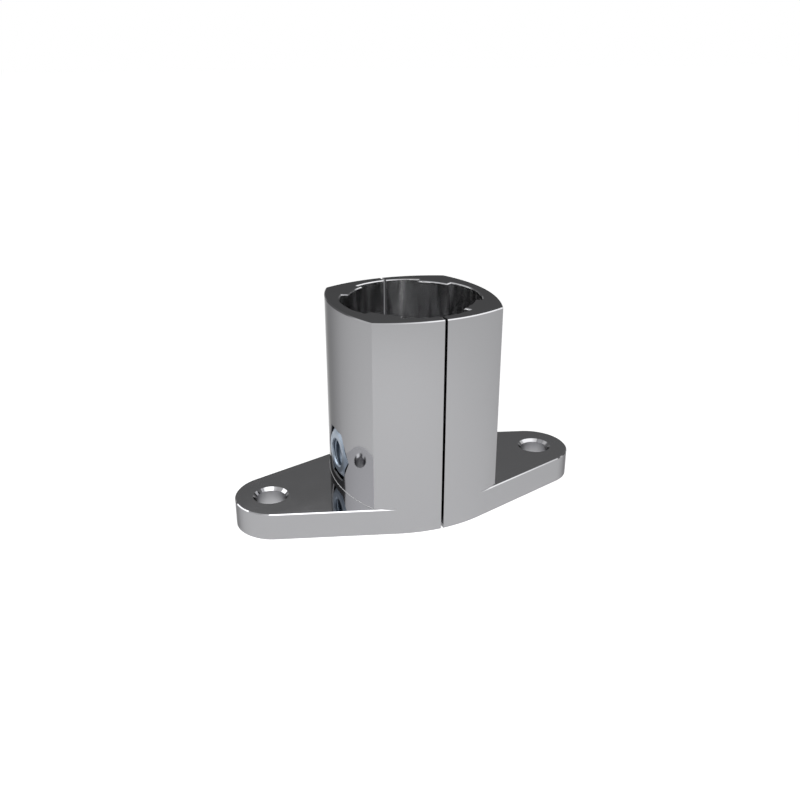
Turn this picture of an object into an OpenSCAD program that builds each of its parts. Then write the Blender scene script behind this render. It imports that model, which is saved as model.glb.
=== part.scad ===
// Floor anchor connector for a round grooved tube.
// Two cast halves close around the tube and are pulled together by one cross screw and nut.
// X runs along the two ears, Y across them, Z up from the floor, origin under the tube's axis.

/* [Tube socket] */
// Outside diameter of the tube
tube_d = 30; // [20:0.5:40]
// Gap left round the tube before the screw is tightened
tube_gap = 0.2; // [0.05:0.05:0.4]
// Depth of the socket that the tube stands in
socket_depth = 24; // [12:0.5:50]
// How far the four ribs reach in, to sit in the tube's grooves
rib_reach = 1.6; // [0.8:0.1:3]
// Arc that each rib covers, in degrees
rib_arc = 30; // [20:1:50]

/* [Body] */
// Thinnest wall round the tube
wall_t = 2.6; // [1.8:0.1:6]
// How far the middle of each side bulges past the corners
side_bulge = 3.4; // [1.5:0.1:4.5]
// Gap between the two halves
split_gap = 0.6; // [0.3:0.1:1.2]
// Metal between the nut's pocket and the end of the tube
web_t = 4; // [2:0.1:10]
// Small bevel on the rims of the body, the socket, the nut's pocket and the flange
rim_bevel = 0.2; // [0.1:0.05:0.6]
// Small fillet where the body stands on the flange
foot_fillet = 0.15; // [0.1:0.05:0.8]

/* [Floor flange] */
// Thickness of the flange
flange_t = 6; // [3:0.5:12]
// From the side of the body to the middle of an ear's hole
hole_reach = 15.2; // [12:0.2:30]
// Diameter of the holes for the floor screws
hole_d = 6.4; // [4:0.1:9]
// Width of the bevel round each hole
hole_bevel = 0.65; // [0.3:0.05:1.5]
// Metal between a hole and the round end of its ear
ear_margin = 5.8; // [4:0.1:10]
// How far the ear's round end is centred inside its hole
ear_inset = 1.3; // [0.5:0.1:3]

/* [Clamp screw] */
// Nominal diameter of the screw
screw_d = 6; // [5:0.5:8]
// Pitch of the thread
thread_pitch = 1; // [0.5:0.05:1.25]
// Height of the screw's axis above the flange
screw_rise = 7.5; // [7:0.1:12]
// Room round the screw in its hole
screw_gap = 0.3; // [0.1:0.05:0.6]
// How far the thread reaches into the nut
thread_reach = 2.5; // [2:0.1:4.5]
// Room between the thread's mean surface and the nut's
thread_gap = 0.05; // [0.02:0.01:0.1]
// Length of the plain neck under the head
neck_len = 4; // [1:0.5:8]
// Diameter of the head
head_d = 10; // [9:0.5:12]
// Height of the head
head_h = 6; // [4:0.5:8]
// Bevel on the head's outer edge
head_bevel = 0.6; // [0.2:0.1:1]
// Room round the head in its counterbore
head_gap = 0.3; // [0.1:0.05:0.6]
// How deep the head's face lies under the side of the body
head_sink = 1.9; // [0.5:0.1:3]
// Width across the flats of the hexagon key
key_af = 5; // [4:0.5:6]
// Depth of the key's socket
key_depth = 3; // [2:0.5:4]

/* [Clamp nut] */
// Width across the nut's flats
nut_af = 10; // [9:0.5:13]
// Thickness of the nut
nut_t = 5; // [5:0.5:7]
// Room round the nut in its pocket
nut_gap = 0.5; // [0.1:0.05:0.6]
// How deep the nut's face lies under the side of the body
nut_sink = 0.2; // [0.1:0.1:2]
// Slope of the bevel that rounds the nut's corners, in degrees
nut_bevel_angle = 30; // [15:1:40]
// Diameter of the nut's two flat faces, inside that bevel
nut_face_d = 9; // [8:0.1:9]

/* [Hidden] */
$fn = 128;
// Extra length that carries a cut past the face it opens
over = 1;
// Tiny overlap that lets faces which touch all along a line cross instead
cross_in = 0.002;
// Slope of every rim's bevel
bevel_lean = 45;
// Depth of a metric thread's mean surface on the diameter, as a share of the pitch
mean_share = 0.65;
// Bevel on the screw's end, as a share of the pitch
tip_share = 0.6;
// Drilled pilot under the key's socket, as a share of the key
pilot_share = 0.9;
casting_grey = [0.71, 0.71, 0.72];
screw_grey = [0.60, 0.62, 0.66];
zinc_blue = [0.62, 0.66, 0.73];

socket_r = tube_d / 2 + tube_gap;
rib_r = socket_r - rib_reach;
rib_step = 90;
recess_arc = rib_step - rib_arc;

body_half = socket_r + wall_t;
corner_half = body_half - side_bulge;
side_r = (pow(corner_half, 2) + pow(side_bulge, 2)) / (2 * side_bulge);
side_centre = side_r - body_half;

pocket_af = nut_af + 2 * nut_gap;
counterbore_d = head_d + 2 * head_gap;
screw_z = flange_t + screw_rise;
base_h = screw_z + max(pocket_af, counterbore_d) / 2 + web_t;
body_h = base_h + socket_depth;

hole_x = body_half + hole_reach;
ear_x = hole_x - ear_inset;
ear_r = hole_d / 2 + ear_margin;

// Along the screw, measured on X: the nut is on the left and the head on the right.
nut_seat_x = -(body_half - nut_sink - nut_t);
head_seat_x = body_half - head_sink - head_h;
tip_x = nut_seat_x - thread_reach;
thread_mean_r = (screw_d - mean_share * thread_pitch) / 2;
thread_r = thread_mean_r - thread_gap;
tip_bevel = tip_share * thread_pitch;

// The flange's straight side touches the ear's round end and the bulged front.
// Its direction follows from the two centres and the difference of the two radii.
centre_gap = norm([ear_x, side_centre]);
touch_angle = atan2(side_centre, ear_x) + acos((side_r - ear_r) / centre_gap);
touch_n = [cos(touch_angle), sin(touch_angle)];
touch_ear = [ear_x, 0] + ear_r * touch_n;
touch_body = [0, -side_centre] + side_r * touch_n;

// Where the left side's bulged surface lies on X at a given y.
function side_x(y) = side_centre - sqrt(pow(side_r, 2) - pow(y, 2));

// A round piece standing on z = 0 with a bevelled upper edge.
module bevelled_disc(r, h, bevel) {
    rotate_extrude()
        polygon([[0, 0], [r, 0], [r, h - bevel], [r - bevel, h], [0, h]]);
}

// Puts a child at the centre of each of the four bulged sides in turn.
module at_side(turn) {
    rotate([0, 0, turn])
        translate([-side_centre, 0, 0])
            children();
}

// Four large bevelled discs overlap in a square with bulged sides.
module body_block() {
    intersection() {
        at_side(0) bevelled_disc(side_r, body_h, rim_bevel);
        at_side(90) bevelled_disc(side_r, body_h, rim_bevel);
        at_side(180) bevelled_disc(side_r, body_h, rim_bevel);
        at_side(270) bevelled_disc(side_r, body_h, rim_bevel);
    }
}

// Small fillet along the foot of the left or right side, ending flush with front and back.
module foot_ring(turn) {
    centre = foot_fillet - cross_in;
    intersection() {
        at_side(turn)
            rotate_extrude()
                difference() {
                    translate([side_r - foot_fillet, flange_t - foot_fillet])
                        square(foot_fillet + centre);
                    translate([side_r + centre, flange_t + centre])
                        circle(r = foot_fillet);
                }
        at_side(90) cylinder(r = side_r, h = base_h);
        at_side(270) cylinder(r = side_r, h = base_h);
    }
}

// Takes the upper edge off one straight side of the flange.
module side_bevel() {
    reach = hole_x + ear_r;
    edge = touch_ear - touch_n * cross_in;
    translate([edge.x, edge.y, flange_t - rim_bevel])
        rotate([0, 0, touch_angle - 90])
            rotate([bevel_lean, 0, 0])
                translate([-reach, 0, -rim_bevel])
                    cube([2 * reach, reach, reach]);
}

// One ear with its two straight sides, along +X.
module ear() {
    ear_end = touch_ear - touch_n * cross_in;
    body_end = touch_body - touch_n * cross_in;
    difference() {
        union() {
            translate([ear_x, 0, 0]) bevelled_disc(ear_r, flange_t, rim_bevel);
            linear_extrude(flange_t)
                polygon([
                    [body_end.x, -body_end.y],
                    [ear_end.x, -ear_end.y],
                    [ear_end.x, ear_end.y],
                    [body_end.x, body_end.y]
                ]);
        }
        side_bevel();
        mirror([0, 1, 0]) side_bevel();
    }
}

// Hole for one floor screw, with its bevel at the top.
module ear_hole() {
    translate([hole_x, 0, -over]) cylinder(d = hole_d, h = flange_t + 2 * over);
    translate([hole_x, 0, flange_t - hole_bevel])
        cylinder(r1 = hole_d / 2, r2 = hole_d / 2 + hole_bevel + over, h = hole_bevel + over);
}

// Bevel round the mouth of a bore of radius r, as a cutter that starts below the bevel.
module mouth_cone(r) {
    translate([0, 0, body_h - rim_bevel - over])
        cylinder(r1 = r - over, r2 = r + rim_bevel + over, h = rim_bevel + 2 * over);
}

// All that lies on the recess's side of one rib's flank, leaning out at the mouth.
module beside_rib(turn, lean) {
    reach = 2 * body_half;
    rotate([0, 0, turn])
        translate([0, 0, body_h - rim_bevel])
            rotate([lean, 0, 0])
                translate([0, lean > 0 ? 0 : -reach, -reach / 2])
                    cube([reach, reach, reach]);
}

// One of the four recesses between the ribs, opening on the side that turn gives.
module recess(turn) {
    low_edge = turn - recess_arc / 2;
    high_edge = turn + recess_arc / 2;
    reach = 2 * socket_r;
    intersection() {
        translate([0, 0, base_h]) cylinder(r = socket_r, h = socket_depth + over);
        translate([0, 0, base_h])
            linear_extrude(socket_depth + over)
                polygon([
                    [0, 0],
                    reach * [cos(low_edge), sin(low_edge)],
                    reach * [cos(high_edge), sin(high_edge)]
                ]);
    }
    intersection() {
        mouth_cone(socket_r);
        beside_rib(low_edge, bevel_lean);
        beside_rib(high_edge, -bevel_lean);
    }
}

// Room for the tube: a bore between the ribs, four recesses and the bevelled mouth.
module tube_socket() {
    translate([0, 0, base_h]) cylinder(r = rib_r, h = socket_depth + over);
    mouth_cone(rib_r);
    for (turn = [0:rib_step:359]) recess(turn);
}

// Puts a child on the screw's axis, which runs along +X.
module on_screw_axis(x) {
    translate([x, 0, screw_z]) rotate([0, 90, 0]) children();
}

module screw_hole() {
    on_screw_axis(-body_half) cylinder(r = screw_d / 2 + screw_gap, h = 2 * body_half);
}

// Hexagon with flats up and down, its corners towards the front and back.
module hexagon(af, h) {
    rotate([0, 0, 30]) cylinder(r = af / 2 / cos(30), h = h, $fn = 6);
}

// One half of the casting, with the split's gap taken off, on the side that side gives.
module half_casting(side) {
    reach = hole_x + ear_r;
    turn = side > 0 ? 0 : 180;
    difference() {
        intersection() {
            union() {
                body_block();
                foot_ring(turn);
                rotate([0, 0, turn]) ear();
            }
            rotate([0, 0, turn])
                translate([split_gap / 2, -reach, -over])
                    cube([reach, 2 * reach, body_h + 2 * over]);
        }
        tube_socket();
        screw_hole();
        rotate([0, 0, turn]) ear_hole();
    }
}

// Bevel on the edge of the nut's pocket, one straight cut for each of its six sides.
// Every cut leans with the bulged side, whose depth is taken at the cut's ends and middle.
module pocket_bevel() {
    corner = pocket_af / 2 / cos(30);
    length = corner + rim_bevel;
    on_screw_axis(0)
        for (turn = [0:60:300]) {
            first_x = side_x(corner * sin(turn - 30));
            middle_x = side_x(pocket_af / 2 * sin(turn));
            last_x = side_x(corner * sin(turn + 30));
            rotate([0, 0, turn])
                translate([pocket_af / 2, 0, (first_x + 2 * middle_x + last_x) / 4 + rim_bevel])
                    rotate([atan((last_x - first_x) / corner), 0, 0])
                        rotate([0, bevel_lean, 0])
                            translate([-over, -length / 2, -over])
                                cube([2 * over, length, over]);
        }
}

module left_half_shell() {
    color(casting_grey)
        difference() {
            half_casting(-1);
            on_screw_axis(-body_half - over) hexagon(pocket_af, nut_seat_x + body_half + over);
            pocket_bevel();
        }
}

module right_half_shell() {
    color(casting_grey)
        difference() {
            half_casting(1);
            on_screw_axis(head_seat_x) cylinder(d = counterbore_d, h = body_half + over);
        }
}

// Socket head screw with its head on the right and its end inside the nut.
module clamp_screw() {
    neck_x = head_seat_x - neck_len;
    pilot_r = pilot_share * key_af / 2;
    color(screw_grey)
        difference() {
            union() {
                on_screw_axis(head_seat_x) bevelled_disc(head_d / 2, head_h, head_bevel);
                on_screw_axis(neck_x) cylinder(d = screw_d, h = neck_len);
                on_screw_axis(tip_x + tip_bevel) cylinder(r = thread_r, h = neck_x - tip_x - tip_bevel);
                on_screw_axis(tip_x) cylinder(r1 = thread_r - tip_bevel, r2 = thread_r, h = tip_bevel);
            }
            on_screw_axis(head_seat_x + head_h - key_depth) hexagon(key_af, key_depth + over);
            on_screw_axis(head_seat_x + head_h - key_depth - pilot_r / 2)
                cylinder(r1 = 0, r2 = pilot_r, h = pilot_r / 2);
        }
}

// Hexagon nut whose corners are turned off at both faces.
module clamp_nut() {
    corner_r = nut_af / 2 / cos(30);
    corner_drop = (corner_r - nut_face_d / 2) * tan(nut_bevel_angle);
    mouth_r = screw_d / 2 + thread_gap;
    mouth_h = mouth_r - thread_mean_r;
    color(zinc_blue)
        on_screw_axis(nut_seat_x - nut_t)
            difference() {
                intersection() {
                    hexagon(nut_af, nut_t);
                    rotate_extrude()
                        polygon([
                            [0, 0],
                            [nut_face_d / 2, 0],
                            [corner_r, corner_drop],
                            [corner_r, nut_t - corner_drop],
                            [nut_face_d / 2, nut_t],
                            [0, nut_t]
                        ]);
                }
                translate([0, 0, -over]) cylinder(r = thread_mean_r, h = nut_t + 2 * over);
                translate([0, 0, -over])
                    cylinder(r1 = mouth_r + over, r2 = thread_mean_r, h = mouth_h + over);
                translate([0, 0, nut_t - mouth_h])
                    cylinder(r1 = thread_mean_r, r2 = mouth_r + over, h = mouth_h + over);
            }
}

left_half_shell();
right_half_shell();
clamp_screw();
clamp_nut();
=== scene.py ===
"""Floor anchor connector: its finishes, its nut and screw in full detail, and a pale stage."""
import math

import bmesh
import bpy
from bpy.props import FloatProperty, IntProperty, PointerProperty, StringProperty
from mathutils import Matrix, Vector


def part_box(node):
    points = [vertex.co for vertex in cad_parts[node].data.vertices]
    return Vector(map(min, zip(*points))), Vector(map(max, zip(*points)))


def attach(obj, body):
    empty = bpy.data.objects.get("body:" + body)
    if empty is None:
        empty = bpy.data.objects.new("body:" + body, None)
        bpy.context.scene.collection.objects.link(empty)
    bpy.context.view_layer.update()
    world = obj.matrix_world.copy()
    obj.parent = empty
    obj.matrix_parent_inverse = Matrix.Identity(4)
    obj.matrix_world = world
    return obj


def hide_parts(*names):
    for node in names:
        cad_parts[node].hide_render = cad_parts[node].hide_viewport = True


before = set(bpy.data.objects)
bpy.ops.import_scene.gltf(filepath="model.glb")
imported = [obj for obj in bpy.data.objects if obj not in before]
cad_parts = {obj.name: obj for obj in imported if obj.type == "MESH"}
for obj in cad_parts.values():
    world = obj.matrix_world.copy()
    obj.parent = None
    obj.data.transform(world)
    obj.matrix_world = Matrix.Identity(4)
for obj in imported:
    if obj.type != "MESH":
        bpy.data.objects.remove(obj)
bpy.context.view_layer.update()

bl_info = {
    "name": "Floor anchor connector",
    "version": (1, 0, 0),
    "blender": (4, 5, 0),
    "location": "3D View > Sidebar > Anchor",
    "description": "Dresses the packed floor anchor connector and sets it on a pale stage",
    "category": "Object",
}

MM = 0.001
NUT_LOW, NUT_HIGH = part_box("clamp_nut")
SCREW_LOW, SCREW_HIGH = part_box("clamp_screw")
BODY_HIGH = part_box("left_half_shell")[1]
SCREW_Z = (NUT_LOW.z + NUT_HIGH.z) / 2

# Shares of the pitch: a 60 degree thread with flats on its crests and at its roots.
SCREW_RIDGE = {"height": 0.613, "foot": 0.833, "top": 0.125}
NUT_RIDGE = {"height": -0.541, "foot": 0.875, "top": 0.25}

# A thread fades out over this part of a turn, down to this share of its ridge.
FADE_TURNS = 0.5
FADE_LEAST = 0.02

# Fineness: columns round a piece, points in a turn of thread, and the edges that stay sharp.
NUT_COLUMNS, SCREW_COLUMNS = 180, 120
THREAD_POINTS = 60
NUT_SHARP, SCREW_SHARP = math.radians(22), math.radians(25)

AXIS_GAP = 0.02 * MM  # how far from the axis the screw's section ends
CONE_SHARE = 0.9  # width of the drilled cone under the key's socket, as a share of its flats

SLACK = 0.05 * MM  # how far a mask reaches past the face that it ends at
CORNER_LIFT = 0.003 * MM  # keeps the ears' tops out of the corner's mask
NOISE_RANGE = (0.3, 0.7)  # what a noise mostly keeps to
STREAK_RANGE = (0.4, 0.6)  # noise levels between which a dark streak turns light
STREAK_SHIFT = (1.4, 7.7, 9.0)  # where the streaks fall, in streak widths and lengths

# Softboxes: place, then width and height.
SOFTBOXES = {
    "key": ((-0.035, -0.10, 0.135), (0.14, 0.09)),
    "left": ((-0.325, 0.17, 0.17), (0.32, 0.16)),
    "right": ((0.36, 0.06, 0.21), (0.20, 0.14)),
}

# Levels by height, 0 at the horizon and 1 overhead: the white horizon, then shares of the sky's
# level, and the ceiling's ring.
HORIZON_STOPS = [(0.0, 1.0), (0.12, 1.0)]
SKY_STOPS = [(0.18, 1.0), (0.43, 1.0), (0.65, 0.8), (0.85, 0.9)]
RING_STOPS = [(0.5, 0.0), (0.6, 1.0), (0.9, 1.0), (0.97, 0.3)]
RING_LEFT = -0.6  # towards -X, where the ring is down to its left level
MIRROR_BOUNCES = 10  # the bore's walls mirror each other many times

MATH = "ShaderNodeMath"


# Nodes

def hex_colour(text):
    """A linear RGBA colour from an sRGB hex value such as #A0B0C0."""
    parts = [int(text[i:i + 2], 16) / 255 for i in (1, 3, 5)]
    return [p / 12.92 if p <= 0.04045 else ((p + 0.055) / 1.055) ** 2.4 for p in parts] + [1.0]


def find_socket(sockets, key):
    """A socket by its place, or by its name among those that the node's settings leave on."""
    if isinstance(key, int):
        return sockets[key]
    return next(socket for socket in sockets if socket.name == key and socket.enabled)


def add_node(tree, kind, inputs=None, output=None, **settings):
    """Adds one node with its settings, and its inputs set to values or joined to other sockets.

    It gives the named output, or the node itself where none is named.
    """
    node = tree.nodes.new(kind)
    for name, value in settings.items():
        setattr(node, name, value)
    for key, source in (inputs or {}).items():
        socket = find_socket(node.inputs, key)
        if isinstance(source, bpy.types.NodeSocket):
            tree.links.new(source, socket)
        else:
            socket.default_value = source
    return find_socket(node.outputs, output) if output else node


def all_of(tree, *masks):
    """1 where every mask is 1, or the product where they are shares."""
    result = masks[0]
    for mask in masks[1:]:
        result = add_node(tree, MATH, {0: result, 1: mask}, "Value", operation="MULTIPLY")
    return result


def between(tree, value, low, high):
    """1 where a value lies between two limits, and 0 elsewhere."""
    over = add_node(tree, MATH, {0: value, 1: low}, "Value", operation="GREATER_THAN")
    under = add_node(tree, MATH, {0: value, 1: high}, "Value", operation="LESS_THAN")
    return all_of(tree, over, under)


def set_stops(ramp, stops):
    """Gives a ramp node its greys, from (place, level) pairs."""
    elements = ramp.color_ramp.elements
    elements.remove(elements[1])
    for index, (place, level) in enumerate(stops):
        stop = elements[0] if index == 0 else elements.new(place)
        stop.position = place
        stop.color = (level, level, level, 1.0)


def new_material(name):
    """An empty node material, and its tree."""
    material = bpy.data.materials.new(name)
    material.use_nodes = True
    material.node_tree.nodes.clear()
    return material, material.node_tree


# Geometry trees

def new_geometry_tree(name, inputs):
    """An empty geometry tree with its named inputs, and the outputs of its input node."""
    tree = bpy.data.node_groups.new(name, "GeometryNodeTree")
    tree.interface.new_socket("Geometry", in_out="INPUT", socket_type="NodeSocketGeometry")
    for label, kind in inputs.items():
        tree.interface.new_socket(label, in_out="INPUT", socket_type=kind)
    tree.interface.new_socket("Geometry", in_out="OUTPUT", socket_type="NodeSocketGeometry")
    return tree, add_node(tree, "NodeGroupInput").outputs


def finish_geometry_tree(tree, given, made):
    """Turns what the tree made from +Z to the screw's axis, adds it to the body and ends."""
    start = add_node(tree, "ShaderNodeCombineXYZ", {"X": given["Start"], "Z": SCREW_Z}, "Vector")
    laid = add_node(tree, "GeometryNodeTransform", {
        "Geometry": made, "Translation": start, "Rotation": (0, math.pi / 2, 0)}, "Geometry")
    joined = add_node(tree, "GeometryNodeJoinGeometry")
    tree.links.new(given["Geometry"], joined.inputs["Geometry"])
    tree.links.new(laid, joined.inputs["Geometry"])
    real = add_node(tree, "GeometryNodeRealizeInstances", {
        "Geometry": joined.outputs["Geometry"]}, "Geometry")
    dressed = add_node(tree, "GeometryNodeSetMaterial", {
        "Geometry": real, "Material": given["Material"]}, "Geometry")
    add_node(tree, "NodeGroupOutput", {"Geometry": dressed})


def thread_tree():
    """A ridge that winds round the axis and fades into the body at both ends."""
    tree, given = new_geometry_tree("thread_turns", {
        "Radius": "NodeSocketFloat", "Ridge height": "NodeSocketFloat",
        "Foot width": "NodeSocketFloat", "Top width": "NodeSocketFloat",
        "Pitch": "NodeSocketFloat", "Turns": "NodeSocketFloat", "Points a turn": "NodeSocketInt",
        "Start": "NodeSocketFloat", "Material": "NodeSocketMaterial"})
    tall, turns = given["Ridge height"], given["Turns"]
    rise = add_node(tree, MATH, {0: given["Pitch"], 1: turns}, "Value", operation="MULTIPLY")
    spiral = add_node(tree, "GeometryNodeCurveSpiral", {
        "Resolution": given["Points a turn"], "Rotations": turns, "Height": rise,
        "Start Radius": given["Radius"], "End Radius": given["Radius"], "Reverse": True}, "Curve")
    path = add_node(tree, "GeometryNodeSetCurveNormal", {"Curve": spiral}, "Curve", mode="Z_UP")

    ridge = add_node(tree, "GeometryNodeCurvePrimitiveQuadrilateral", {
        "Height": 1.0, "Bottom Width": given["Foot width"], "Top Width": given["Top width"],
        "Offset": 0.0}, "Curve", mode="TRAPEZOID")
    half_height = add_node(tree, MATH, {0: tall, 1: 0.5}, "Value", operation="MULTIPLY")
    outwards = add_node(tree, "ShaderNodeCombineXYZ", {"X": half_height}, "Vector")
    stretch = add_node(tree, "ShaderNodeCombineXYZ", {"X": 1.0, "Y": tall, "Z": 1.0}, "Vector")
    profile = add_node(tree, "GeometryNodeTransform", {
        "Geometry": ridge, "Translation": outwards, "Rotation": (0, 0, -math.pi / 2),
        "Scale": stretch}, "Geometry")

    share = add_node(tree, "GeometryNodeSplineParameter", output="Factor")
    along = add_node(tree, MATH, {0: share, 1: turns}, "Value", operation="MULTIPLY")
    to_end = add_node(tree, MATH, {0: turns, 1: along}, "Value", operation="SUBTRACT")
    nearer = add_node(tree, MATH, {0: along, 1: to_end}, "Value", operation="MINIMUM")
    fade = add_node(tree, MATH, {0: nearer, 1: 1 / FADE_TURNS, 2: FADE_LEAST}, "Value",
                    operation="MULTIPLY_ADD", use_clamp=True)
    wound = add_node(tree, "GeometryNodeCurveToMesh", {
        "Curve": path, "Profile Curve": profile, "Scale": fade, "Fill Caps": True}, "Mesh")
    finish_geometry_tree(tree, given, wound)
    return tree


def knurl_tree():
    """Straight four-sided rods set round the axis, side by side, with one edge outwards."""
    tree, given = new_geometry_tree("knurl", {
        "Radius": "NodeSocketFloat", "Ridge height": "NodeSocketFloat", "Ridges": "NodeSocketInt",
        "Length": "NodeSocketFloat", "Start": "NodeSocketFloat", "Material": "NodeSocketMaterial"})
    inner = add_node(tree, MATH, {0: given["Radius"], 1: given["Ridge height"]}, "Value",
                     operation="SUBTRACT")
    ring = add_node(tree, "GeometryNodeMeshCircle", {
        "Vertices": given["Ridges"], "Radius": inner}, "Mesh")
    middle = add_node(tree, MATH, {0: given["Length"], 1: 0.5}, "Value", operation="MULTIPLY")
    lift = add_node(tree, "ShaderNodeCombineXYZ", {"Z": middle}, "Vector")
    raised = add_node(tree, "GeometryNodeTransform", {
        "Geometry": ring, "Translation": lift}, "Geometry")

    step = add_node(tree, MATH, {0: 2 * math.pi, 1: given["Ridges"]}, "Value", operation="DIVIDE")
    index = add_node(tree, "GeometryNodeInputIndex", output="Index")
    angle = add_node(tree, MATH, {0: index, 1: step}, "Value", operation="MULTIPLY")
    turn = add_node(tree, "ShaderNodeCombineXYZ", {"Z": angle}, "Vector")
    width = add_node(tree, MATH, {0: inner, 1: step}, "Value", operation="MULTIPLY")
    half_width = add_node(tree, MATH, {0: width, 1: 0.5}, "Value", operation="MULTIPLY")
    size = add_node(tree, "ShaderNodeCombineXYZ", {
        "X": given["Ridge height"], "Y": half_width, "Z": given["Length"]}, "Vector")
    rod = add_node(tree, "GeometryNodeMeshCylinder", {
        "Vertices": 4, "Radius": 1.0, "Depth": 1.0}, "Mesh")
    rods = add_node(tree, "GeometryNodeInstanceOnPoints", {
        "Points": raised, "Instance": rod, "Rotation": turn, "Scale": size}, "Instances")
    finish_geometry_tree(tree, given, rods)
    return tree


def grow(piece, tree, values):
    """Runs a tree on a piece, with its named inputs, and keeps the result as its plain mesh."""
    modifier = piece.modifiers.new(tree.name, "NODES")
    modifier.node_group = tree
    for socket in tree.interface.items_tree:
        if socket.in_out == "INPUT" and socket.name in values:
            modifier[socket.identifier] = values[socket.name]
    evaluated = piece.evaluated_get(bpy.context.evaluated_depsgraph_get())
    mesh = bpy.data.meshes.new_from_object(evaluated)
    piece.modifiers.remove(modifier)
    shape = bmesh.new()
    shape.from_mesh(mesh)
    bmesh.ops.recalc_face_normals(shape, faces=shape.faces)
    shape.to_mesh(mesh)
    shape.free()
    piece.data = mesh


# Materials

def polished_casting(finish):
    """Aluminium die casting, ground and buffed outside, as cast in the bore, drilled in the holes.

    Outside it looks like a slightly hazy mirror that is greyer at its edges. The bore shows soft
    upright raised streaks, and its metal is painted lighter with light streaks, which is painted
    light and painted reflections on its wall. The drilled holes are dull, and their metal is
    painted lighter, which is painted light on their walls.
    """
    material, tree = new_material("buffed_aluminium_casting")
    place = add_node(tree, "ShaderNodeTexCoord", output="Object")
    masks = casting_masks(tree, place, finish)
    streak = streak_pattern(tree, place, finish)
    shader = add_node(tree, "ShaderNodeBsdfPrincipled", {
        "Base Color": casting_colour(tree, streak, masks, finish),
        "Metallic": finish.metallic,
        "Specular Tint": hex_colour(finish.edge_tint),
        "Roughness": casting_roughness(tree, place, masks, finish),
        "Normal": casting_relief(tree, place, streak, masks, finish)}, "BSDF")
    add_node(tree, "ShaderNodeOutputMaterial", {"Surface": shader})
    return material


def casting_masks(tree, place, finish):
    """The parts of the casting that weren't buffed, each as a mask; the bore and the holes also
    carry painted light.

    They are the bore, its wall without the floor, the ears' holes, and the corner where the body
    stands on the ears, outside the flush front and back.
    """
    parts = add_node(tree, "ShaderNodeSeparateXYZ", {"Vector": place}).outputs
    bore = round_mask(tree, place, finish.bore_d / 2, finish.bore_floor - SLACK,
                      BODY_HIGH.z - finish.rim)
    over_floor = add_node(tree, MATH, {0: parts["Z"], 1: finish.bore_floor + SLACK}, "Value",
                          operation="GREATER_THAN")
    holes = round_mask(tree, mirrored(tree, place, finish.hole_x), finish.hole_d / 2, -SLACK,
                       finish.flange_h - finish.hole_rim)
    low = between(tree, parts["Z"], finish.flange_h + CORNER_LIFT, finish.flange_h + finish.foot)
    across = add_node(tree, MATH, {0: parts["X"]}, "Value", operation="ABSOLUTE")
    outside = add_node(tree, MATH, {0: across, 1: finish.flush_x}, "Value",
                       operation="GREATER_THAN")
    return {"bore": bore, "wall": all_of(tree, bore, over_floor), "holes": holes,
            "corner": all_of(tree, low, outside)}


def mirrored(tree, place, distance):
    """The place as measured from a point at that distance out on +X, and on -X the same."""
    folded = add_node(tree, "ShaderNodeVectorMath", {0: place}, "Vector", operation="ABSOLUTE")
    return add_node(tree, "ShaderNodeVectorMath", {
        0: folded, 1: (distance, 0, 0)}, "Vector", operation="SUBTRACT")


def round_mask(tree, place, radius, low, high):
    """1 within an upright cylinder between two heights, and 0 elsewhere."""
    parts = add_node(tree, "ShaderNodeSeparateXYZ", {"Vector": place}).outputs
    flat = add_node(tree, "ShaderNodeCombineXYZ", {"X": parts["X"], "Y": parts["Y"]}, "Vector")
    reach = add_node(tree, "ShaderNodeVectorMath", {0: flat}, "Value", operation="LENGTH")
    near = add_node(tree, MATH, {0: reach, 1: radius}, "Value", operation="LESS_THAN")
    return all_of(tree, near, between(tree, parts["Z"], low, high))


def streak_pattern(tree, place, finish):
    """A noise drawn out upright."""
    upright = add_node(tree, "ShaderNodeMapping", {
        "Vector": place, "Location": STREAK_SHIFT,
        "Scale": (1 / finish.streak_width, 1 / finish.streak_width, 1 / finish.streak_length),
    }, "Vector")
    return add_node(tree, "ShaderNodeTexNoise", {
        "Vector": upright, "Scale": 1.0, "Detail": 1.0}, "Fac")


def casting_colour(tree, streak, masks, finish):
    """Grey metal outside, painted light in the bore as lighter metal with dark and light streaks,
    and painted light in the holes as lighter metal.
    """
    low, high = STREAK_RANGE
    # Painted light: in the bore, light streaks over metal lighter than the buffed skin stand in for
    # light and reflections on the wall and floor.
    light = add_node(tree, "ShaderNodeMapRange", {
        "Value": streak, "From Min": low, "From Max": high}, "Result")
    painted_bore_light = add_node(tree, "ShaderNodeMix", {
        "Factor": all_of(tree, light, masks["wall"]), "A": hex_colour(finish.painted_light_bore_base),
        "B": hex_colour(finish.painted_light_streaks)}, "Result", data_type="RGBA")
    outer = add_node(tree, "ShaderNodeMix", {
        "Factor": masks["bore"], "A": hex_colour(finish.metal), "B": painted_bore_light},
        "Result", data_type="RGBA")
    # Painted light: the holes' metal is lighter than the buffed metal, which paints light onto
    # their shaded walls.
    return add_node(tree, "ShaderNodeMix", {
        "Factor": masks["holes"], "A": outer, "B": hex_colour(finish.hole_painted_light)},
        "Result", data_type="RGBA")


def casting_roughness(tree, place, masks, finish):
    """Hazy patches left by buffing, and one roughness in each part that wasn't buffed."""
    low, high = NOISE_RANGE
    haze = add_node(tree, "ShaderNodeTexNoise", {
        "Vector": place, "Scale": 1 / finish.haze_size, "Detail": 3.0, "Roughness": 0.6}, "Fac")
    rough = add_node(tree, "ShaderNodeMapRange", {
        "Value": haze, "From Min": low, "From Max": high,
        "To Min": finish.roughness_low, "To Max": finish.roughness_high}, "Result")
    for mask, level in (("bore", finish.bore_roughness), ("holes", finish.hole_roughness),
                        ("corner", finish.corner_roughness)):
        rough = add_node(tree, "ShaderNodeMix", {
            "Factor": masks[mask], "A": rough, "B": level}, "Result")
    return rough


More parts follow.
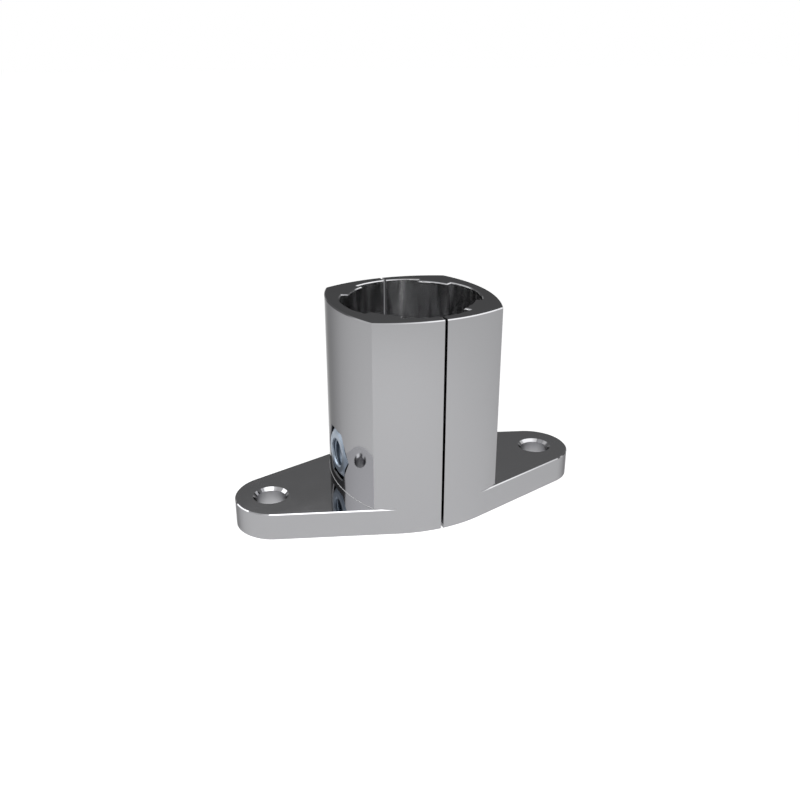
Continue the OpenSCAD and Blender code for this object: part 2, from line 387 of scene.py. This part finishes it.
def casting_relief(tree, place, streak, masks, finish):
    """Faint ripples in the buffed skin, and raised streaks on the bore's wall."""
    skin = add_node(tree, "ShaderNodeTexNoise", {
        "Vector": place, "Scale": 1 / finish.skin_size, "Detail": 2.0}, "Fac")
    ripple = add_node(tree, "ShaderNodeBump", {
        "Height": skin, "Strength": finish.skin_strength, "Distance": finish.skin_height}, "Normal")
    return add_node(tree, "ShaderNodeBump", {
        "Height": all_of(tree, streak, masks["wall"]), "Distance": finish.streak_height,
        "Normal": ripple}, "Normal")


def zinc_plate(name, colour, cloud_colour, roughness, spread, cloud_size):
    """Zinc-plated steel from a plating bath, which looks bluish and bright.

    Small cloudy patches make some of it darker and rougher.
    """
    material, tree = new_material(name)
    place = add_node(tree, "ShaderNodeTexCoord", output="Object")
    cloud = add_node(tree, "ShaderNodeTexNoise", {
        "Vector": place, "Scale": 1 / cloud_size, "Detail": 3.0}, "Fac")
    tint = add_node(tree, "ShaderNodeMix", {
        "Factor": cloud, "A": hex_colour(colour), "B": hex_colour(cloud_colour)},
        "Result", data_type="RGBA")
    rough = add_node(tree, "ShaderNodeMapRange", {
        "Value": cloud, "To Min": roughness, "To Max": roughness + spread}, "Result")
    shader = add_node(tree, "ShaderNodeBsdfPrincipled", {
        "Base Color": tint, "Metallic": 1.0, "Roughness": rough}, "BSDF")
    add_node(tree, "ShaderNodeOutputMaterial", {"Surface": shader})
    return material


def dress(piece, material):
    """Gives a piece its material."""
    piece.data.materials.clear()
    piece.data.materials.append(material)


# Shapes made by a rule

def hexagon_radius(turn, flats):
    """Distance from the axis to a hexagon's side, the flats facing up and down."""
    sixth = math.pi / 3
    return flats / 2 / math.cos((turn + sixth / 2) % sixth - sixth / 2)


def polar_mesh(name, section, columns, closed):
    """A mesh from a section that may change with the turn round the screw's axis.

    section(turn) gives (x, radius) pairs, always as many. A closed section makes a ring. An open
    one runs from axis to axis, and a small face closes each end.
    """
    shape = bmesh.new()
    rings = []
    for column in range(columns):
        turn = 2 * math.pi * column / columns
        rings.append([shape.verts.new((x, r * math.sin(turn), SCREW_Z + r * math.cos(turn)))
                      for x, r in section(turn)])
    count = len(rings[0])
    last = count if closed else count - 1
    for column in range(columns):
        here, beyond = rings[column], rings[(column + 1) % columns]
        for row in range(last):
            above = (row + 1) % count
            shape.faces.new((here[row], here[above], beyond[above], beyond[row]))
    if not closed:
        shape.faces.new([ring[0] for ring in rings])
        shape.faces.new([ring[-1] for ring in reversed(rings)])
    mesh = bpy.data.meshes.new(name)
    shape.to_mesh(mesh)
    shape.free()
    piece = bpy.data.objects.new(name, mesh)
    bpy.context.scene.collection.objects.link(piece)
    return piece


def smooth_by_angle(piece, angle):
    """Smooth shading that keeps edges steeper than the angle sharp."""
    piece.data.shade_smooth()
    piece.data.set_sharp_from_angle(angle=angle)


def thread_values(ridge, sizes, radius, start, end, material):
    """The thread tree's inputs for a thread that runs from one x to another."""
    return {
        "Radius": radius, "Ridge height": ridge["height"] * sizes.pitch,
        "Foot width": ridge["foot"] * sizes.pitch, "Top width": ridge["top"] * sizes.pitch,
        "Pitch": sizes.pitch, "Turns": (end - start) / sizes.pitch,
        "Points a turn": THREAD_POINTS, "Start": start, "Material": material}


# Sizes and colours

class CastingFinish(bpy.types.PropertyGroup):
    metal: StringProperty(
        name="Metal", description="Colour of the buffed metal", default="#9B9B9D")
    # Painted light: the bore's light streaks are far lighter than the buffed metal and stand in for
    # reflections of light on the bore's wall.
    painted_light_streaks: StringProperty(
        name="Raw metal", description="Colour of the light streaks in the bore",
        default="#E6E6E7")
    # Painted light: the bore's dark streaks and floor are still lighter than the buffed metal,
    # which paints light into the bore.
    painted_light_bore_base: StringProperty(
        name="Dark streaks", description="Colour of the dark streaks and the floor in the bore",
        default="#A8A8A9")
    # Painted light: the holes' metal is lighter than the buffed metal, which paints light onto
    # their walls.
    hole_painted_light: StringProperty(
        name="Drilled metal", description="Colour of the metal in the ears' holes",
        default="#BCBCBE")
    metallic: FloatProperty(
        name="Metallic", description="Share of clean metal under the haze",
        default=1.0, min=0, max=1, subtype="FACTOR")
    edge_tint: StringProperty(
        name="Edge tint", description="How bright the metal stays at grazing angles",
        default="#A4A4A4")
    haze_size: FloatProperty(
        name="Haze size", description="Width of a hazy patch left by buffing",
        default=6 * MM, min=1 * MM, unit="LENGTH")
    roughness_low: FloatProperty(
        name="Least roughness", description="Roughness of the clearest metal",
        default=0.05, min=0, max=1, subtype="FACTOR")
    roughness_high: FloatProperty(
        name="Most roughness", description="Roughness of the haziest metal",
        default=0.09, min=0, max=1, subtype="FACTOR")
    skin_size: FloatProperty(
        name="Skin size", description="Width of a ripple in the buffed skin",
        default=4 * MM, min=0.5 * MM, unit="LENGTH")
    skin_height: FloatProperty(
        name="Skin height", description="Height of a ripple in the buffed skin",
        default=0.004 * MM, min=0, unit="LENGTH")
    skin_strength: FloatProperty(
        name="Skin strength", description="How much of the ripple shows",
        default=0.5, min=0, max=1, subtype="FACTOR")
    bore_d: FloatProperty(
        name="Bore", description="Width of the part that keeps its cast skin",
        default=30.6 * MM, min=10 * MM, unit="LENGTH")
    bore_floor: FloatProperty(
        name="Bore's floor", description="Height of the bore's floor, which has no streaks",
        default=23 * MM, min=0, unit="LENGTH")
    rim: FloatProperty(
        name="Rim", description="Height of the buffed rim at the bore's mouth",
        default=0.2 * MM, min=0, unit="LENGTH")
    bore_roughness: FloatProperty(
        name="Bore roughness", description="Roughness of the cast skin",
        default=0.18, min=0, max=1, subtype="FACTOR")
    streak_width: FloatProperty(
        name="Streak width", description="Width of a streak in the bore",
        default=2 * MM, min=0.2 * MM, unit="LENGTH")
    streak_length: FloatProperty(
        name="Streak length", description="Length of a streak in the bore",
        default=12 * MM, min=1 * MM, unit="LENGTH")
    streak_height: FloatProperty(
        name="Streak height", description="Height of a streak in the bore",
        default=0.02 * MM, min=0, unit="LENGTH")
    hole_x: FloatProperty(
        name="Hole distance", description="From the middle to the axis of an ear's hole",
        default=33 * MM, min=10 * MM, unit="LENGTH")
    hole_d: FloatProperty(
        name="Hole", description="Width of the part that is dull from the drill",
        default=6.6 * MM, min=2 * MM, unit="LENGTH")
    flange_h: FloatProperty(
        name="Flange height", description="Height of the ears",
        default=6 * MM, min=1 * MM, unit="LENGTH")
    hole_rim: FloatProperty(
        name="Hole rim", description="Height of the bright bevel at an ear's hole",
        default=0.65 * MM, min=0, unit="LENGTH")
    foot: FloatProperty(
        name="Foot", description="Height of the corner between the ears and the body",
        default=0.15 * MM, min=0.01 * MM, unit="LENGTH")
    flush_x: FloatProperty(
        name="Flush reach", description="From the middle to where the ears leave the body's front",
        default=10 * MM, min=0, unit="LENGTH")
    corner_roughness: FloatProperty(
        name="Corner roughness",
        description="Roughness in that corner, which the buffing wheel can't reach",
        default=0.45, min=0, max=1, subtype="FACTOR")
    hole_roughness: FloatProperty(
        name="Hole roughness", description="Roughness of the drilled walls",
        default=0.35, min=0, max=1, subtype="FACTOR")


class PlateFinish(bpy.types.PropertyGroup):
    nut_colour: StringProperty(
        name="Nut", description="Colour of the nut's zinc", default="#8D98A6")
    nut_cloud: StringProperty(
        name="Nut's cloud", description="Colour of the nut's cloudy patches", default="#7D8894")
    screw_colour: StringProperty(
        name="Screw", description="Colour of the screw's zinc", default="#A9B0B8")
    screw_cloud: StringProperty(
        name="Screw's cloud", description="Colour of the screw's cloudy patches",
        default="#8E97A3")
    cloud_size: FloatProperty(
        name="Cloud size", description="Width of a cloudy patch",
        default=2 * MM, min=0.2 * MM, unit="LENGTH")
    nut_roughness: FloatProperty(
        name="Nut's roughness", description="Roughness of the nut's clearest plate",
        default=0.3, min=0, max=1, subtype="FACTOR")
    screw_roughness: FloatProperty(
        name="Screw's roughness", description="Roughness of the screw's clearest plate",
        default=0.12, min=0, max=1, subtype="FACTOR")
    roughness_spread: FloatProperty(
        name="Spread", description="How much rougher the cloudiest plate is",
        default=0.12, min=0, max=0.5, subtype="FACTOR")


class FastenerSizes(bpy.types.PropertyGroup):
    thread_d: FloatProperty(
        name="Thread", description="Outside diameter of the thread",
        default=6 * MM, min=3 * MM, unit="LENGTH")
    pitch: FloatProperty(
        name="Pitch", description="Rise of the thread in one turn",
        default=1 * MM, min=0.5 * MM, unit="LENGTH")
    thread_gap: FloatProperty(
        name="Thread gap", description="Room between the two threads",
        default=0.05 * MM, min=0, unit="LENGTH")
    nut_face_d: FloatProperty(
        name="Nut's face", description="Diameter of the nut's flat faces",
        default=9 * MM, min=5 * MM, unit="LENGTH")
    nut_bevel: FloatProperty(
        name="Nut's bevel", description="Lean of the bevel that turns the corners off",
        default=math.radians(30), subtype="ANGLE")
    nut_mouth: FloatProperty(
        name="Nut's mouth", description="Depth of the bevel at the nut's hole",
        default=0.3 * MM, min=0, unit="LENGTH")
    head_h: FloatProperty(
        name="Head height", description="Height of the screw's head",
        default=6 * MM, min=3 * MM, unit="LENGTH")
    head_bevel: FloatProperty(
        name="Head bevel", description="Bevel on the head's outer edge",
        default=0.6 * MM, min=0, unit="LENGTH")
    edge: FloatProperty(
        name="Edge", description="Small broken edges of the screw",
        default=0.2 * MM, min=0, unit="LENGTH")
    key_flats: FloatProperty(
        name="Key", description="Width across the key socket's flats",
        default=5 * MM, min=2 * MM, unit="LENGTH")
    key_depth: FloatProperty(
        name="Key depth", description="Depth of the key's socket",
        default=3 * MM, min=1 * MM, unit="LENGTH")
    neck: FloatProperty(
        name="Neck", description="Length of the plain neck",
        default=4 * MM, min=0, unit="LENGTH")
    knurl_ridges: IntProperty(
        name="Knurl", description="Ridges round the screw's head", default=72, min=12)
    knurl_height: FloatProperty(
        name="Knurl height", description="Height of a knurl ridge",
        default=0.12 * MM, min=0, unit="LENGTH")


class StageSettings(bpy.types.PropertyGroup):
    azimuth: FloatProperty(
        name="Azimuth", description="Camera's turn round the object, 0 looking along +Y",
        default=math.radians(-22.384), subtype="ANGLE")
    elevation: FloatProperty(
        name="Elevation", description="Camera's angle above the horizon",
        default=math.radians(22.625), subtype="ANGLE")
    distance: FloatProperty(
        name="Distance", description="From the aimed point to the camera",
        default=197.68 * MM, unit="LENGTH")
    aim_right: FloatProperty(
        name="Aim right", description="Aimed point, to the right of the origin in the picture",
        default=-2.35 * MM, unit="LENGTH")
    aim_up: FloatProperty(
        name="Aim up", description="Aimed point, above the origin in the picture",
        default=21.42 * MM, unit="LENGTH")
    lens: FloatProperty(
        name="Lens", description="Focal length in mm on a 36 mm sensor", default=37.92)
    near_end: FloatProperty(
        name="Near end", description="Nearest distance that the camera sees",
        default=10 * MM, min=1 * MM, unit="LENGTH")
    floor_colour: StringProperty(
        name="Floor", description="Colour of the floor", default="#E8E8E8")
    floor_size: FloatProperty(
        name="Floor size", description="Width of the floor", default=8.0, unit="LENGTH")
    floor_lift: FloatProperty(
        name="Floor lift", description="Added to what the camera and the metal see of the floor",
        default=0.76, min=0)
    key_level: FloatProperty(
        name="Key light", description="Radiance of the softbox over the front",
        default=2.9, min=0)
    left_level: FloatProperty(
        name="Left light", description="Radiance of the softbox on the left",
        default=3.2, min=0)
    right_level: FloatProperty(
        name="Right light", description="Radiance of the softbox on the right",
        default=1.0, min=0)
    sky_level: FloatProperty(
        name="Sky", description="Radiance of the dim band round the object",
        default=0.32, min=0)
    overhead_level: FloatProperty(
        name="Overhead", description="Radiance of the ceiling's ring, as the metal sees it",
        default=2.5, min=0)
    overhead_left: FloatProperty(
        name="Overhead on the left", description="Share of the ring's light at its left end",
        default=0.3, min=0, max=1, subtype="FACTOR")


# Pieces

class ANCHOR_OT_casting(bpy.types.Operator):
    """Gives both halves of the casting their polished finish"""
    bl_idname = "anchor.casting"
    bl_label = "Finish the casting"

    def execute(self, context):
        metal = polished_casting(context.scene.anchor_casting)
        for name in ("left_half_shell", "right_half_shell"):
            dress(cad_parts[name], metal)
        return {"FINISHED"}


class ANCHOR_OT_nut(bpy.types.Operator):
    """Builds the nut with its threaded hole and turned-off corners"""
    bl_idname = "anchor.nut"
    bl_label = "Build the nut"

    def execute(self, context):
        sizes = context.scene.anchor_fasteners
        finish = context.scene.anchor_plate
        plate = zinc_plate("bright_zinc_nut", finish.nut_colour, finish.nut_cloud,
                           finish.nut_roughness, finish.roughness_spread, finish.cloud_size)
        flats = NUT_HIGH.z - NUT_LOW.z
        low, high = NUT_LOW.x, NUT_HIGH.x
        root, mouth = sizes.thread_d / 2, sizes.nut_mouth
        face_r = sizes.nut_face_d / 2

        def section(turn):
            corner = hexagon_radius(turn, flats)
            drop = (corner - face_r) * math.tan(sizes.nut_bevel)
            return [
                (low, root + mouth), (low + mouth, root), (high - mouth, root),
                (high, root + mouth), (high, face_r), (high - drop, corner),
                (low + drop, corner), (low, face_r)]

        nut = polar_mesh("hexagon_nut", section, NUT_COLUMNS, True)
        grow(nut, thread_tree(), thread_values(
            NUT_RIDGE, sizes, root, low + sizes.pitch / 2, high - sizes.pitch / 2, plate))
        smooth_by_angle(nut, NUT_SHARP)
        dress(nut, plate)
        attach(nut, "root")
        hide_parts("clamp_nut")
        return {"FINISHED"}


class ANCHOR_OT_screw(bpy.types.Operator):
    """Builds the socket head screw with its thread and knurled head"""
    bl_idname = "anchor.screw"
    bl_label = "Build the screw"

    def execute(self, context):
        sizes = context.scene.anchor_fasteners
        finish = context.scene.anchor_plate
        plate = zinc_plate("bright_zinc_screw", finish.screw_colour, finish.screw_cloud,
                           finish.screw_roughness, finish.roughness_spread, finish.cloud_size)
        tip, face = SCREW_LOW.x, SCREW_HIGH.x
        seat = face - sizes.head_h
        head_r = (SCREW_HIGH.z - SCREW_LOW.z) / 2
        shank_r = sizes.thread_d / 2
        core_r = shank_r - 2 * sizes.thread_gap - SCREW_RIDGE["height"] * sizes.pitch
        neck_end = seat - sizes.neck
        key_floor = face - sizes.key_depth
        cone_tip = key_floor - sizes.key_flats / 4
        edge = sizes.edge
        collar = 3 * edge
        knurl_low = seat + collar
        knurl_high = face - sizes.head_bevel - edge

        def section(turn):
            key = hexagon_radius(turn, sizes.key_flats)
            inner_r = head_r - sizes.knurl_height
            return [
                (cone_tip, AXIS_GAP), (key_floor, CONE_SHARE * sizes.key_flats / 2),
                (key_floor, key), (face - edge, key), (face, key + edge),
                (face, head_r - sizes.head_bevel), (face - sizes.head_bevel, head_r),
                (knurl_high, head_r), (knurl_high, inner_r), (knurl_low, inner_r),
                (knurl_low, head_r), (seat + edge, head_r), (seat, head_r - edge),
                (seat, shank_r + edge), (seat - edge, shank_r), (neck_end, shank_r),
                (neck_end - (shank_r - core_r), core_r), (tip + edge, core_r),
                (tip, core_r - edge), (tip, AXIS_GAP)]

        screw = polar_mesh("socket_head_screw", section, SCREW_COLUMNS, False)
        # Half a pitch from the nut's turns, the screw's ridge lies in the nut's groove.
        nut_start = NUT_LOW.x + sizes.pitch / 2
        skipped = math.ceil((tip + sizes.pitch / 2 - nut_start) / sizes.pitch - 0.5)
        start = nut_start + (skipped + 0.5) * sizes.pitch
        grow(screw, thread_tree(), thread_values(
            SCREW_RIDGE, sizes, core_r, start, neck_end, plate))
        grow(screw, knurl_tree(), {
            "Radius": head_r, "Ridge height": sizes.knurl_height, "Ridges": sizes.knurl_ridges,
            "Length": knurl_high - knurl_low, "Start": knurl_low, "Material": plate})
        smooth_by_angle(screw, SCREW_SHARP)
        dress(screw, plate)
        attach(screw, "root")
        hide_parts("clamp_screw")
        return {"FINISHED"}


class ANCHOR_OT_stage(bpy.types.Operator):
    """Sets the pale floor, the soft light and the camera"""
    bl_idname = "anchor.stage"
    bl_label = "Set the stage"

    def execute(self, context):
        settings = context.scene.anchor_stage
        self.make_floor(context.scene, settings)
        self.make_world(context.scene, settings)
        self.make_lights(context.scene, settings)
        self.make_camera(context.scene, settings)
        context.scene.view_settings.view_transform = "Standard"
        context.scene.cycles.glossy_bounces = MIRROR_BOUNCES
        return {"FINISHED"}

    def make_floor(self, scene, settings):
        """A pale floor that shows white to the camera and in the metal, and keeps the shadow."""
        half = settings.floor_size / 2
        mesh = bpy.data.meshes.new("floor")
        corners = [(-half, -half, 0), (half, -half, 0), (half, half, 0), (-half, half, 0)]
        mesh.from_pydata(corners, [], [(0, 1, 2, 3)])
        floor = bpy.data.objects.new("floor", mesh)
        scene.collection.objects.link(floor)
        material, tree = new_material("pale_floor")
        paint = add_node(tree, "ShaderNodeBsdfDiffuse", {
            "Color": hex_colour(settings.floor_colour)}, "BSDF")
        lift = add_node(tree, "ShaderNodeEmission", {"Strength": settings.floor_lift}, "Emission")
        shown = add_node(tree, "ShaderNodeAddShader", {0: paint, 1: lift}, "Shader")
        rays = add_node(tree, "ShaderNodeLightPath").outputs
        either = add_node(tree, MATH, {0: rays["Is Camera Ray"], 1: rays["Is Glossy Ray"]},
                          "Value", operation="MAXIMUM")
        seen = add_node(tree, MATH, {0: either, 1: rays["Is Transmission Ray"]},
                        "Value", operation="MAXIMUM")
        pick = add_node(tree, "ShaderNodeMixShader", {0: seen, 1: paint, 2: shown}, "Shader")
        add_node(tree, "ShaderNodeOutputMaterial", {"Surface": pick})
        mesh.materials.append(material)

    def make_world(self, scene, settings):
        """White at the horizon, a dim band above it, and for the metal alone a ring overhead."""
        world = bpy.data.worlds.new("studio")
        world.use_nodes = True
        tree = world.node_tree
        tree.nodes.clear()
        place = add_node(tree, "ShaderNodeTexCoord", output="Generated")
        towards = add_node(tree, "ShaderNodeSeparateXYZ", {"Vector": place}).outputs
        walls = add_node(tree, "ShaderNodeValToRGB", {"Fac": towards["Z"]})
        set_stops(walls, HORIZON_STOPS + [
            (height, share * settings.sky_level) for height, share in SKY_STOPS])
        ring = add_node(tree, "ShaderNodeValToRGB", {"Fac": towards["Z"]})
        set_stops(ring, RING_STOPS)
        side = add_node(tree, "ShaderNodeMapRange", {
            "Value": towards["X"], "From Min": RING_LEFT, "From Max": 0.0,
            "To Min": settings.overhead_left}, "Result")
        in_metal = add_node(tree, "ShaderNodeLightPath", output="Is Glossy Ray")
        ceiling = all_of(tree, ring.outputs["Color"], settings.overhead_level, side, in_metal)
        level = add_node(tree, MATH, {0: walls.outputs["Color"], 1: ceiling}, "Value",
                         operation="ADD")
        sky = add_node(tree, "ShaderNodeBackground", {"Color": level}, "Background")
        add_node(tree, "ShaderNodeOutputWorld", {"Surface": sky})
        scene.world = world

    def make_lights(self, scene, settings):
        """Softboxes over the front, on the left and on the right, each aimed at the object.

        Those at the sides are seen in the metal alone.
        """
        levels = {"key": settings.key_level, "left": settings.left_level,
                  "right": settings.right_level}
        for name, (place, (width, height)) in SOFTBOXES.items():
            lamp = bpy.data.lights.new(name, "AREA")
            lamp.shape = "RECTANGLE"
            lamp.size, lamp.size_y = width, height
            lamp.energy = levels[name] * math.pi * width * height
            light = bpy.data.objects.new(name, lamp)
            light.location = place
            light.rotation_mode = "QUATERNION"
            light.rotation_quaternion = (-Vector(place)).to_track_quat("-Z", "Y")
            light.visible_camera = False
            light.visible_diffuse = name == "key"
            scene.collection.objects.link(light)

    def make_camera(self, scene, settings):
        """A camera at the photograph's angle."""
        turn, rise = settings.azimuth, settings.elevation
        back = Vector((math.sin(turn) * math.cos(rise), -math.cos(turn) * math.cos(rise),
                       math.sin(rise)))
        right = Vector((0, 0, 1)).cross(back).normalized()
        up = back.cross(right)
        lens = bpy.data.cameras.new("camera")
        lens.lens = settings.lens
        lens.clip_start = settings.near_end
        camera = bpy.data.objects.new("camera", lens)
        aim = right * settings.aim_right + up * settings.aim_up
        camera.location = aim + back * settings.distance
        camera.rotation_mode = "QUATERNION"
        camera.rotation_quaternion = (-back).to_track_quat("-Z", "Y")
        scene.collection.objects.link(camera)
        scene.camera = camera


class ANCHOR_PT_panel(bpy.types.Panel):
    """Lists the steps and the sizes that a user would change"""
    bl_idname = "ANCHOR_PT_panel"
    bl_label = "Floor anchor connector"
    bl_space_type = "VIEW_3D"
    bl_region_type = "UI"
    bl_category = "Anchor"

    def draw(self, context):
        layout = self.layout
        for step in STEPS:
            layout.operator(step.bl_idname)
        for group in GROUPS:
            settings = getattr(context.scene, group)
            for name in settings.__annotations__:
                layout.prop(settings, name)


STEPS = (ANCHOR_OT_casting, ANCHOR_OT_nut, ANCHOR_OT_screw, ANCHOR_OT_stage)
GROUPS = {
    "anchor_casting": CastingFinish,
    "anchor_plate": PlateFinish,
    "anchor_fasteners": FastenerSizes,
    "anchor_stage": StageSettings,
}


def register():
    for kind in (*GROUPS.values(), *STEPS, ANCHOR_PT_panel):
        bpy.utils.register_class(kind)
    for name, kind in GROUPS.items():
        setattr(bpy.types.Scene, name, PointerProperty(type=kind))


def unregister():
    for name in GROUPS:
        delattr(bpy.types.Scene, name)
    for kind in reversed((*GROUPS.values(), *STEPS, ANCHOR_PT_panel)):
        bpy.utils.unregister_class(kind)


def main():
    register()
    bpy.ops.anchor.casting()
    bpy.ops.anchor.nut()
    bpy.ops.anchor.screw()
    bpy.ops.anchor.stage()


if __name__ == "__main__":
    main()
